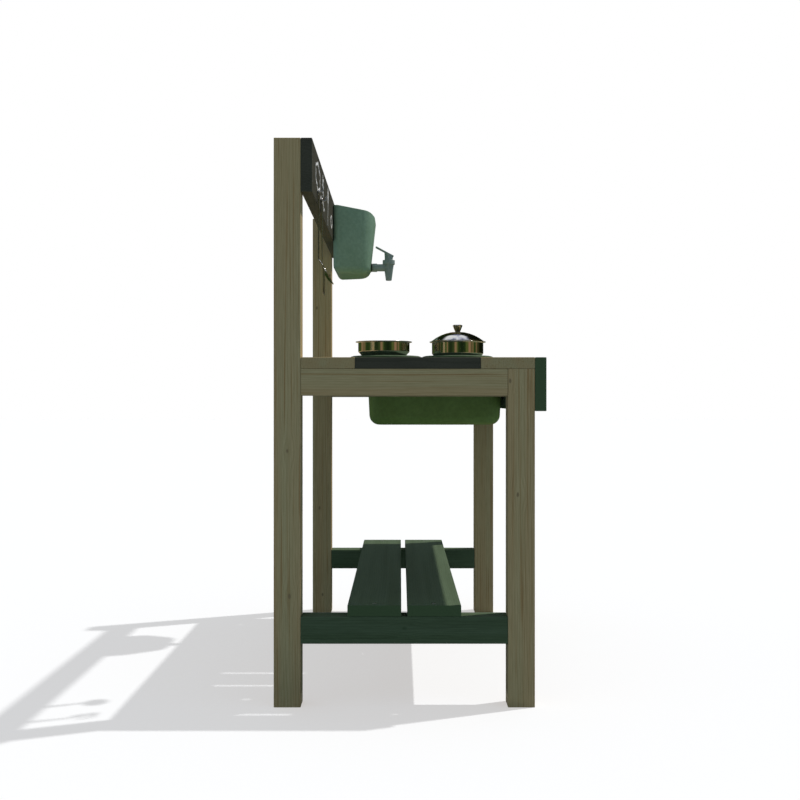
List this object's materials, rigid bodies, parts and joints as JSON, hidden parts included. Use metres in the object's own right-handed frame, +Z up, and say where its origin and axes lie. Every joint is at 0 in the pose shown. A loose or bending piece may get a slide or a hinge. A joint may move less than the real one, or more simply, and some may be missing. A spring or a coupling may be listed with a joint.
{
  "type": "mud kitchen",
  "caption": "Outdoor play kitchen: timber frame with slatted worktop, hob plates, lift-out sink tub, water tank with tap, shelf, pans and hanging utensils.",
  "frame": {"origin": "on the ground under the middle of the whole kitchen", "axes": "+X along the worktop towards the sink end, +Y from the front to the beam at the back, +Z up"},
  "size_m": [0.95, 0.455, 0.95],
  "materials": {
    "planed_pine": "planed and oiled softwood",
    "green_stained_pine": "dark green water-based stain on planed softwood",
    "black_painted_pine": "matt blackboard paint on planed softwood",
    "zinc_steel": "bright zinc plated",
    "stainless_steel": "pressed and polished",
    "green_polypropylene": "satin moulded",
    "sage_polypropylene": "satin moulded",
    "grey_plastic": "fine-grained moulded",
    "black_rubber": "moulded sealing washer"
  },
  "bodies": {
    "kitchen": {"back_post_left": "planed_pine", "back_post_right": "planed_pine", "front_leg_left": "planed_pine", "front_leg_right": "planed_pine", "upper_side_rail_left": "planed_pine", "upper_side_rail_right": "planed_pine", "worktop_back_board": "planed_pine", "worktop_front_board": "planed_pine", "worktop_middle_slat": "planed_pine", "sink_strip_left": "planed_pine", "sink_strip_right": "planed_pine", "worktop_bearer": "planed_pine", "slat_batten_front": "planed_pine", "slat_batten_back": "planed_pine", "lower_side_rail_left": "green_stained_pine", "lower_side_rail_right": "green_stained_pine", "front_apron": "green_stained_pine", "shelf_board_front": "green_stained_pine", "shelf_board_back": "green_stained_pine", "hob_plate_back": "green_stained_pine", "hob_plate_front": "green_stained_pine", "chalkboard_beam": "black_painted_pine", "hob_slat_1": "black_painted_pine", "hob_slat_2": "black_painted_pine", "hob_slat_3": "black_painted_pine", "hob_slat_4": "black_painted_pine", "apron_screw_left_lower": "zinc_steel", "beam_screw_left_lower": "zinc_steel", "apron_screw_left_upper": "zinc_steel", "beam_screw_left_upper": "zinc_steel", "shelf_screw_front_left": "zinc_steel", "shelf_screw_back_left": "zinc_steel", "tank_screw_left": "zinc_steel", "apron_screw_right_lower": "zinc_steel", "beam_screw_right_lower": "zinc_steel", "apron_screw_right_upper": "zinc_steel", "beam_screw_right_upper": "zinc_steel", "shelf_screw_front_right": "zinc_steel", "shelf_screw_back_right": "zinc_steel", "tank_screw_right": "zinc_steel", "hob_plate_screw_back": "zinc_steel", "hob_plate_screw_front": "zinc_steel", "water_tank": "sage_polypropylene", "tap_body": "grey_plastic", "tap_washer": "black_rubber", "tap_nut": "grey_plastic", "utensil_hook_left": "zinc_steel", "utensil_hook_right": "zinc_steel"},
    "sink": {"sink_tub": "green_polypropylene"},
    "frying_pan": {"frying_pan": "stainless_steel", "frying_pan_handle": "stainless_steel"},
    "saucepan": {"saucepan": "stainless_steel", "saucepan_handle": "stainless_steel"},
    "lid": {"saucepan_lid": "stainless_steel", "lid_knob": "stainless_steel", "lid_knob_screw": "zinc_steel"},
    "tap_lever": {"tap_lever": "grey_plastic"},
    "turner": {"turner": "stainless_steel"},
    "serving_spoon": {"serving_spoon": "stainless_steel"}
  },
  "joints": [
    {"name": "tap_turn", "type": "hinge", "parent": "kitchen", "child": "tap_lever", "pos_m": [0.25, 0.04233, 0.812], "axis": [0, 0, 1], "range_deg": [-90, 90]},
    {"name": "sink_lift", "type": "slide", "parent": "kitchen", "child": "sink", "axis": [0, 0, 1], "range_m": [0, 0.15]},
    {"name": "frying_pan_lift", "type": "slide", "parent": "kitchen", "child": "frying_pan", "axis": [0, 0, 1], "range_m": [0, 0.15]},
    {"name": "saucepan_lift", "type": "slide", "parent": "kitchen", "child": "saucepan", "axis": [0, 0, 1], "range_m": [0, 0.15]},
    {"name": "lid_lift", "type": "slide", "parent": "saucepan", "child": "lid", "axis": [0, 0, 1], "range_m": [0, 0.08]},
    {"name": "turner_swing", "type": "hinge", "parent": "kitchen", "child": "turner", "pos_m": [-0.354, 0.1608, 0.88], "axis": [0, 1, 0], "range_deg": [-12, 12]},
    {"name": "spoon_swing", "type": "hinge", "parent": "kitchen", "child": "serving_spoon", "pos_m": [-0.259, 0.1608, 0.88], "axis": [0, 1, 0], "range_deg": [-12, 12]}
  ]
}
